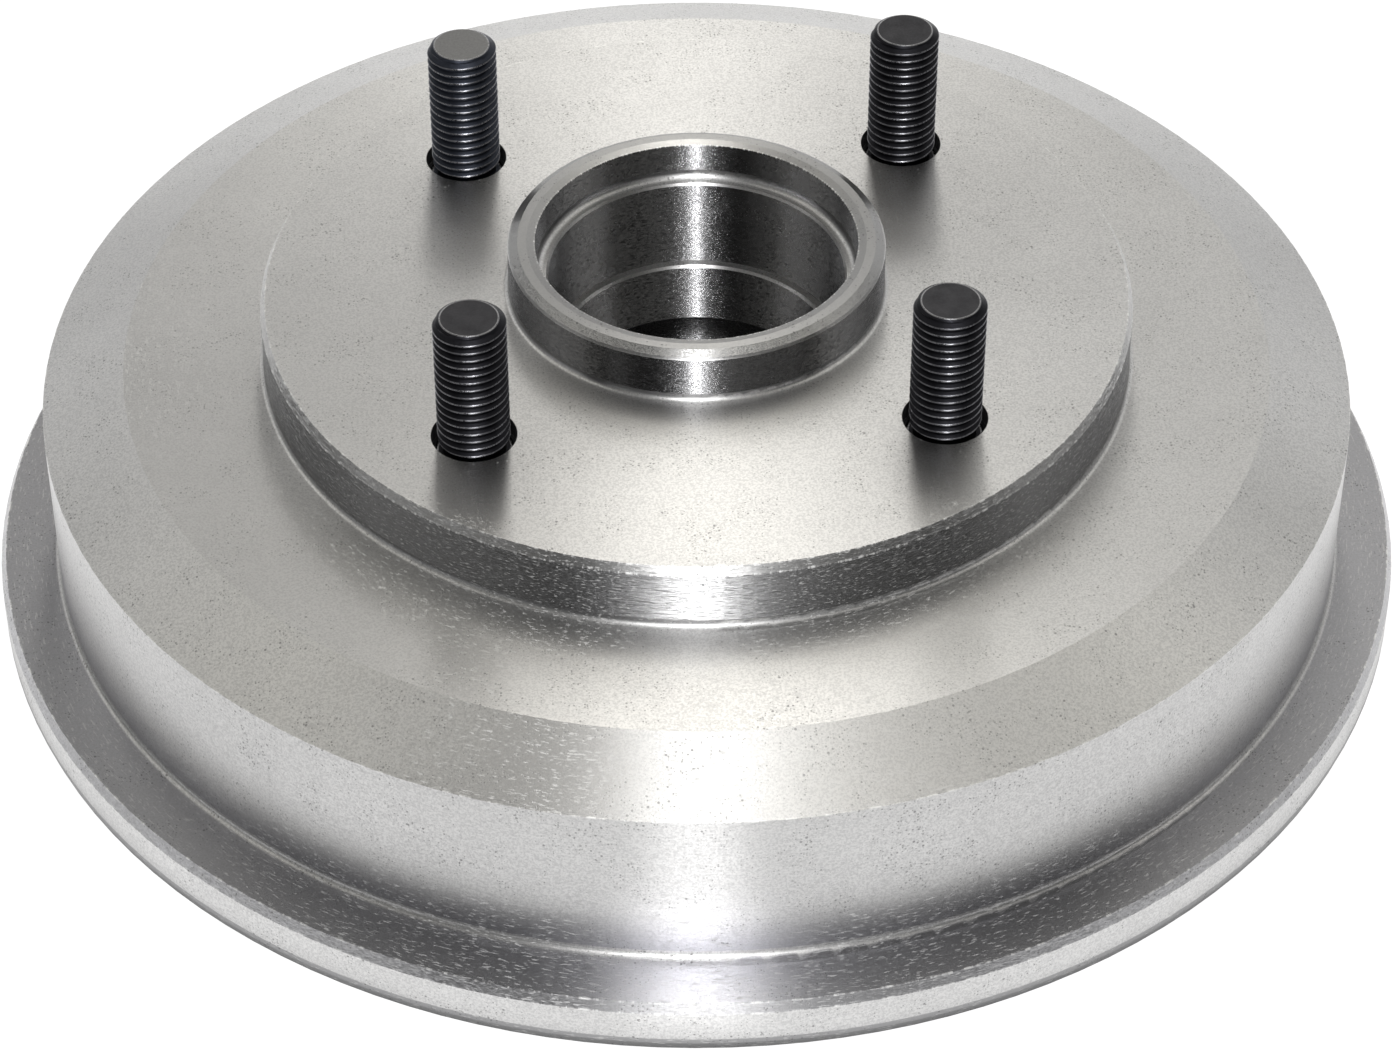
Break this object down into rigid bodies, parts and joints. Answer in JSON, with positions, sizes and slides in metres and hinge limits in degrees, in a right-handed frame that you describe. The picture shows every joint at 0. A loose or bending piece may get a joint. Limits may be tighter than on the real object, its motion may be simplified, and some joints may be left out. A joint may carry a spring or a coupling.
{
  "type": "rear brake drum with hub",
  "caption": "Turned cast-iron brake drum with a stepped bearing hub, a raised wheel face with spigot, a shouldered rim flange and pressed-in wheel studs.",
  "frame": {"origin": "centre of the open rim's end plane, where the drum stands", "axes": "+Z along the axis of rotation, towards the wheel; the studs lie on the diagonals between +X and +Y"},
  "size_m": [0.2432, 0.2432, 0.0811],
  "materials": {
    "turned_iron": "fine-turned bare grey iron with dark graphite specks",
    "stud_steel": "black oxide with a slight oil sheen"
  },
  "bodies": {
    "root": {"brake_drum": "turned_iron", "wheel_studs": "stud_steel"}
  },
  "joints": []
}
